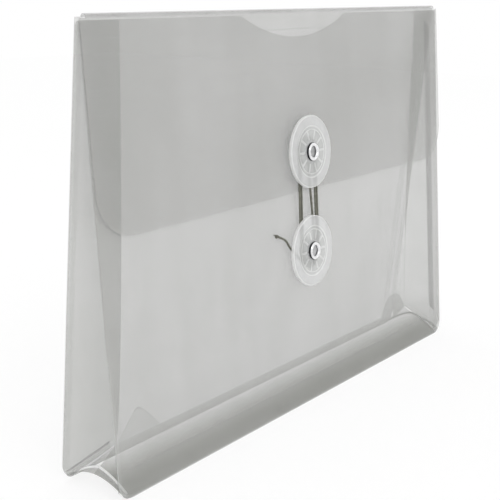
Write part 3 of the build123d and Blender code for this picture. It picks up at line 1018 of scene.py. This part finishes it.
rivetFinish = {             # distances in metres, from the rivet's axis or up from the sheet
    "bright": (0.88, 0.88, 0.89),
    "worn": (0.74, 0.74, 0.75),
    "creviceShade": (0.035, 0.035, 0.04),    # painted shade in the crevices beside the rolled head
    "outerCrevice": (0.00530, 0.00556),
    "outerTop": (0.0066, 0.0071),
    "innerCrevice": (0.0034, 0.0037),
    "innerTop": (0.0061, 0.0065),
    "innerFoot": (0.0050, 0.0054),
    "innerShare": 0.85,
    "barrel": (0.00405, 0.00415),       # the dull inside of the barrel
    "barrelTop": (0.0050, 0.0056),
    "barrelMetal": 0.25,
    "cloud": 320.0,
    "grain": 4200.0,
    "roughness": (0.17, 0.31),
    "bump": (0.00002, 0.04),
}


def rivetMaterial(look):
    material, tree, shader = newMaterial("nickel")
    where, split = objectPlace(tree)
    grain = grainAt(tree, where, look)
    radius = axisDistance(tree, split)
    # masks of the painted shade beside the rolled head, outside it and inside its lip
    outer = times(tree, step(tree, radius, *look["outerCrevice"]), fall(tree, split["Z"], *look["outerTop"]))
    inner = times(tree, fall(tree, radius, *look["innerCrevice"]), fall(tree, split["Z"], *look["innerTop"]),
                  step(tree, split["Z"], *look["innerFoot"]), look["innerShare"])
    tint = blendColour(tree, grain["Cloud"], rgb(look["bright"]), rgb(look["worn"]))
    tint = blendColour(tree, calc(tree, "MAXIMUM", outer, inner), tint, rgb(look["creviceShade"]))
    inside = times(tree, fall(tree, radius, *look["barrel"]), fall(tree, split["Z"], *look["barrelTop"]))
    tree.links.new(blendValue(tree, inside, 1.0, look["barrelMetal"]), shader["Metallic"])
    finishSurface(tree, shader, look, grain, tint)
    return material


hubPlastic = hubMaterial(hubFinish)
nickel = rivetMaterial(rivetFinish)
for where in buttonPlaces:
    paintNode(where + "_hub", hubPlastic)
    paintNode(where + "_washer", nickel)

rivetLook = {
    "segments": 112,
    "profile": ((4.0, -1.05), (5.25, -1.05), (5.4, -0.95), (5.4, -0.82), (5.25, -0.75), (4.42, -0.75),
                (4.4, 5.35), (4.7, 5.42), (5.3, 5.45), (5.62, 5.55), (5.75, 5.85), (5.72, 6.35), (5.58, 6.8),
                (5.35, 7.2), (5.05, 7.48), (4.7, 7.59), (4.3, 7.55), (3.9, 7.38), (3.55, 7.05), (3.3, 6.6),
                (3.2, 6.1), (3.3, 5.65), (3.65, 5.3), (4.0, 4.9), (4.0, 2.5)),
    "dimples": 6,           # flutes pressed into the roll by the setting tool
    "dimpleDepth": 0.16,
    "dimpleAbove": 7.1,
}


def addRivet(where, look):
    def flute(index, radius, z, angle):
        if z <= look["dimpleAbove"]:
            return 0.0
        return -look["dimpleDepth"] * max(0.0, math.cos(look["dimples"] * angle))

    shape = lathed(look["profile"], look["segments"], flute)
    piece = addPiece(where + "_rivet_eyelet", shape, nickel)
    piece.matrix_world = placeOn(where)
    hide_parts(where + "_rivet")
    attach(piece, "flap" if where == "upper" else "front")


for where in buttonPlaces:
    addRivet(where, rivetLook)
print("buttons and rivets made")


cordLook = {
    "diameter": 1.3,
    "length": 473.9,        # of the cord's tube in the part
    "strands": 3,
    "strandRadius": 0.44,
    "twistRadius": 0.33,
    "lay": 4.4,             # length of one turn of the twist
    "gap": 0.5,             # between the points of a strand
    "wraps": (7.25, 9.25, 11.25),
    "hubRadius": 6.55,
    "straight": 7.8,        # from a hub to the first point on a long run
    "leave": -110,          # degrees round the lower hub, where the tail starts
    "tail": ((-20.2, 4.0), (-22.9, 7.2), (-25.0, 10.3), (-29.2, 12.7), (-34.1, 14.64)),
    "gathered": 0.1,        # share of its height that is left when the flap is up
}
upperSeat = buttonPlaces["upper"][0] + 1.8 * buttonPlaces["upper"][1]
lowerSeat = buttonPlaces["lower"][0] + 2.0 * buttonPlaces["lower"][1]
cordUp = (upperSeat - lowerSeat).normalized()
cordSpan = (upperSeat - lowerSeat).length


def onCord(x, y):       # a point of the flat winding in metres, from mm right of and above the lower button
    return (lowerSeat + Vector((x, 0, 0)) + cordUp * y) / 1000


def turnPoints(centreY, radius, begin, end):    # control points round a hub, degrees
    pieces = max(2, round(abs(end - begin) / 30))
    half = (end - begin) / pieces
    reach = radius / math.cos(math.radians(half / 2))
    points = []
    for k in range(pieces):
        angle = math.radians(begin + half * (k + 0.5))
        points.append((reach * math.cos(angle), centreY + reach * math.sin(angle)))
    return points


def runPoints(first, last, away):   # two points on a long run, each a little off its hub
    a, b = Vector(first), Vector(last)
    along = (b - a).normalized() * away
    return [tuple(a + along), tuple(b - along)]


def onWrap(centreY, radius, degrees):
    angle = math.radians(degrees)
    return (radius * math.cos(angle), centreY + radius * math.sin(angle))


def cordRoute(look):
    one, two, three = look["wraps"]
    away, hub = look["straight"], look["hubRadius"]
    firstRun = math.degrees(math.asin(one / cordSpan))
    slantOne = -math.degrees(math.asin((two - one) / cordSpan))
    slantTwo = -math.degrees(math.asin((three - two) / cordSpan))
    turn = math.radians(firstRun)
    start = (hub * math.sin(turn), cordSpan - hub * math.cos(turn))
    route = [start]
    route += runPoints(start, onWrap(0, one, firstRun), away)
    begin = firstRun
    for radius, wider, slant in ((one, two, slantOne), (two, three, slantTwo)):
        route += turnPoints(0, radius, begin, -180)
        route += runPoints((-radius, 0), (-radius, cordSpan), away)
        route += turnPoints(cordSpan, radius, 180, slant)
        route += runPoints(onWrap(cordSpan, radius, slant), onWrap(0, wider, slant), away)
        begin = slant
    route += turnPoints(0, three, begin, look["leave"])
    return route + list(look["tail"])


def makeRoute(look):
    data = bpy.data.curves.new("cordRoute", "CURVE")
    data.dimensions = "3D"
    data.resolution_u = 12
    points = cordRoute(look)
    line = data.splines.new("NURBS")
    line.points.add(len(points) - 1)
    for point, (x, y) in zip(line.points, points):
        point.co = (*onCord(x, y), 1.0)
    line.order_u = 3
    line.use_endpoint_u = True
    route = bpy.data.objects.new("cordRoute", data)
    scene.collection.objects.link(route)
    bpy.context.view_layer.update()
    mesh = bpy.data.meshes.new_from_object(route)
    path = [v.co.copy() for v in mesh.vertices]
    bpy.data.objects.remove(route)
    return path


def evenly(path, gap):      # the same line with points an even distance apart
    spots, travelled = [path[0].copy()], 0.0
    for a, b in zip(path, path[1:]):
        length = (b - a).length
        while travelled + length >= gap:
            a = a + (b - a) * ((gap - travelled) / length)
            length = (b - a).length
            travelled = 0.0
            spots.append(a.copy())
        travelled += length
    return spots


cordFinish = {
    "thread": (0.105, 0.105, 0.080),
    # painted shade in the hollows between the threads
    "groove": (0.040, 0.040, 0.030),
    "highlight": (0.21, 0.21, 0.175),
    "fuzz": 3000.0,
    "fuzzShare": 0.7,
    "cloud": 700.0,
    "grain": 5200.0,
    "roughness": (0.62, 0.85),
    "bump": (0.0001, 0.5),
}


def cordMaterial(look):
    material, tree, shader = newMaterial("braidedCord")
    where = objectPlace(tree)[0]
    grain = grainAt(tree, where, look)
    fuzz = tree.nodes.new("ShaderNodeTexNoise")
    fuzz.inputs["Scale"].default_value = look["fuzz"]
    tree.links.new(where["Object"], fuzz.inputs["Vector"])
    tint = blendColour(tree, grain["Cloud"], rgb(look["thread"]), rgb(look["highlight"]))
    # painted shade in the hollows between the threads, as random dark specks
    hollowShade = times(tree, step(tree, fuzz.outputs["Fac"], 0.5, 0.75), look["fuzzShare"])
    tint = blendColour(tree, hollowShade, tint, rgb(look["groove"]))
    finishSurface(tree, shader, look, grain, tint)
    return material


braid = cordMaterial(cordFinish)
cordNormal = cordUp.cross(Vector((1, 0, 0))).normalized()


def twistedStrands(shape, path, look):
    fine = evenly(path, look["gap"] / 1000)
    for strand in range(look["strands"]):
        line = []
        for k, point in enumerate(fine):
            ahead = (fine[min(k + 1, len(fine) - 1)] - fine[max(k - 1, 0)]).normalized()
            across = cordNormal.cross(ahead).normalized()
            up = ahead.cross(across)
            angle = 2 * math.pi * (k * look["gap"] / look["lay"] + strand / look["strands"])
            out = across * math.cos(angle) + up * math.sin(angle)
            line.append(point + out * look["twistRadius"] / 1000)
        addTube(shape, line, look["strandRadius"] / 1000, 8)


knotLook = {                # sizes in mm
    "size": 0.72,           # radius of the knot's middle line
    "cord": 0.52,
    "ahead": 1.2,           # from the cord's end to the knot's middle
    "steps": 72,
    "fray": 2.6,
    "threads": 7,
    "threadRadius": 0.13,
}


def knotLoop(centre, ahead, across, look):      # a trefoil round the cord's end
    loop = []
    for k in range(look["steps"] + 1):
        t = 2 * math.pi * k / look["steps"]
        local = (math.sin(t) + 2 * math.sin(2 * t), math.cos(t) - 2 * math.cos(2 * t), -math.sin(3 * t))
        scaled = [c * look["size"] / 2600 for c in local]
        loop.append(centre + ahead * scaled[0] + across * scaled[1] + cordNormal * scaled[2] * 1.4)
    return loop


def frayedThread(k, centre, ahead, across, look):
    angle = 2 * math.pi * k / look["threads"]
    spread = (across * math.cos(angle) + cordNormal * math.sin(angle)) * (0.00018 + 0.00006 * (k % 3))
    tip = centre + ahead * (0.0012 + look["fray"] / 1000 * (0.8 + 0.07 * ((k * 3) % 4)))
    return [centre + ahead * 0.0008 + spread * 0.6, centre + ahead * 0.0018 + spread,
            centre + ahead * 0.0028 + spread * 1.6, tip + spread * 2.2]


def addCord(look, knot):
    path = makeRoute(look)
    shape = bmesh.new()
    twistedStrands(shape, path, look)
    bmesh.ops.recalc_face_normals(shape, faces=shape.faces)
    tie = addPiece("string_tie_strands", shape, braid)
    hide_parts("string_tie")
    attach(tie, "flap")
    ahead = (path[-1] - path[-3]).normalized()
    across = cordNormal.cross(ahead)
    centre = path[-1] + ahead * knot["ahead"] / 1000
    shape = bmesh.new()
    addTube(shape, knotLoop(centre, ahead, across, knot), knot["cord"] / 1000, 10)
    for k in range(knot["threads"]):
        addTube(shape, frayedThread(k, centre, ahead, across, knot), knot["threadRadius"] / 1000, 6,
                taper=lambda s: 1.0 - 0.6 * s)
    bmesh.ops.recalc_face_normals(shape, faces=shape.faces)
    end = addPiece("string_end_knot_tied", shape, braid)
    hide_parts("string_end_knot")
    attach(end, "flap")
    length = sum((b - a).length for a, b in zip(path, path[1:]))
    print("cord route", len(path), "points,", round(length * 1000, 1), "mm")
    for piece in (tie, end):
        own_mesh(piece)


addCord(cordLook, knotLook)
print("cord wound")


def seenRays(tree):         # 1 where a ray shows the white itself, 0 where it lights other things
    ray = tree.nodes.new("ShaderNodeLightPath").outputs
    mirrored = calc(tree, "MAXIMUM", ray["Is Glossy Ray"], ray["Is Transmission Ray"])
    return calc(tree, "MAXIMUM", ray["Is Camera Ray"], mirrored)


floorLook = {
    "size": 5.0,
    "height": -0.0002,      # just under the envelope
    "lit": 0.22,            # share of the floor's white that comes from light, so that it keeps a soft shadow
    "tint": (0.96, 0.96, 0.96),
}


def addFloor(look):
    mesh = bpy.data.meshes.new("floor")
    half, z = look["size"] / 2, look["height"]
    corners = [(-half, -half, z), (half, -half, z), (half, half, z), (-half, half, z)]
    mesh.from_pydata(corners, [], [(0, 1, 2, 3)])
    floor = bpy.data.objects.new("floor", mesh)
    scene.collection.objects.link(floor)
    material = bpy.data.materials.new("paleFloor")
    material.use_nodes = True
    tree = material.node_tree
    tree.nodes.clear()
    out = tree.nodes.new("ShaderNodeOutputMaterial")
    matt = tree.nodes.new("ShaderNodeBsdfDiffuse")
    matt.inputs["Color"].default_value = rgb(look["tint"])
    glow = tree.nodes.new("ShaderNodeEmission")
    mix = tree.nodes.new("ShaderNodeMixShader")
    for source, socket in ((times(tree, seenRays(tree), 1.0 - look["lit"]), mix.inputs[0]),
                           (matt.outputs[0], mix.inputs[1]), (glow.outputs[0], mix.inputs[2]),
                           (mix.outputs[0], out.inputs[0])):
        tree.links.new(source, socket)
    mesh.materials.append(material)


addFloor(floorLook)

lightLook = {
    "around": 1.0,          # strength of the white room on the object
    "aim": (0, 0, 0.12),
    "keyPlace": (-0.9, -1.5, 1.5),
    "keyWatts": 9.0,
    "keySize": 1.0,
    "fillPlace": (1.6, -1.2, 0.9),
    "fillWatts": 0.8,
    "fillSize": 1.2,
}


def addLights(look):
    world = bpy.data.worlds.new("room")
    scene.world = world
    world.use_nodes = True
    tree = world.node_tree
    back = tree.nodes["Background"]
    back.inputs["Color"].default_value = (1, 1, 1, 1)
    tree.links.new(blendValue(tree, seenRays(tree), look["around"], 1.0), back.inputs["Strength"])
    for name in ("key", "fill"):
        data = bpy.data.lights.new(name, "AREA")
        data.energy = look[name + "Watts"]
        data.size = look[name + "Size"]
        lamp = bpy.data.objects.new(name, data)
        scene.collection.objects.link(lamp)
        place = Vector(look[name + "Place"])
        aim = (Vector(look["aim"]) - place).to_track_quat("-Z", "Y")
        lamp.matrix_world = Matrix.Translation(place) @ aim.to_matrix().to_4x4()


addLights(lightLook)
scene.view_settings.view_transform = "Standard"
scene.cycles.transparent_max_bounces = 64
print("floor and lights set")
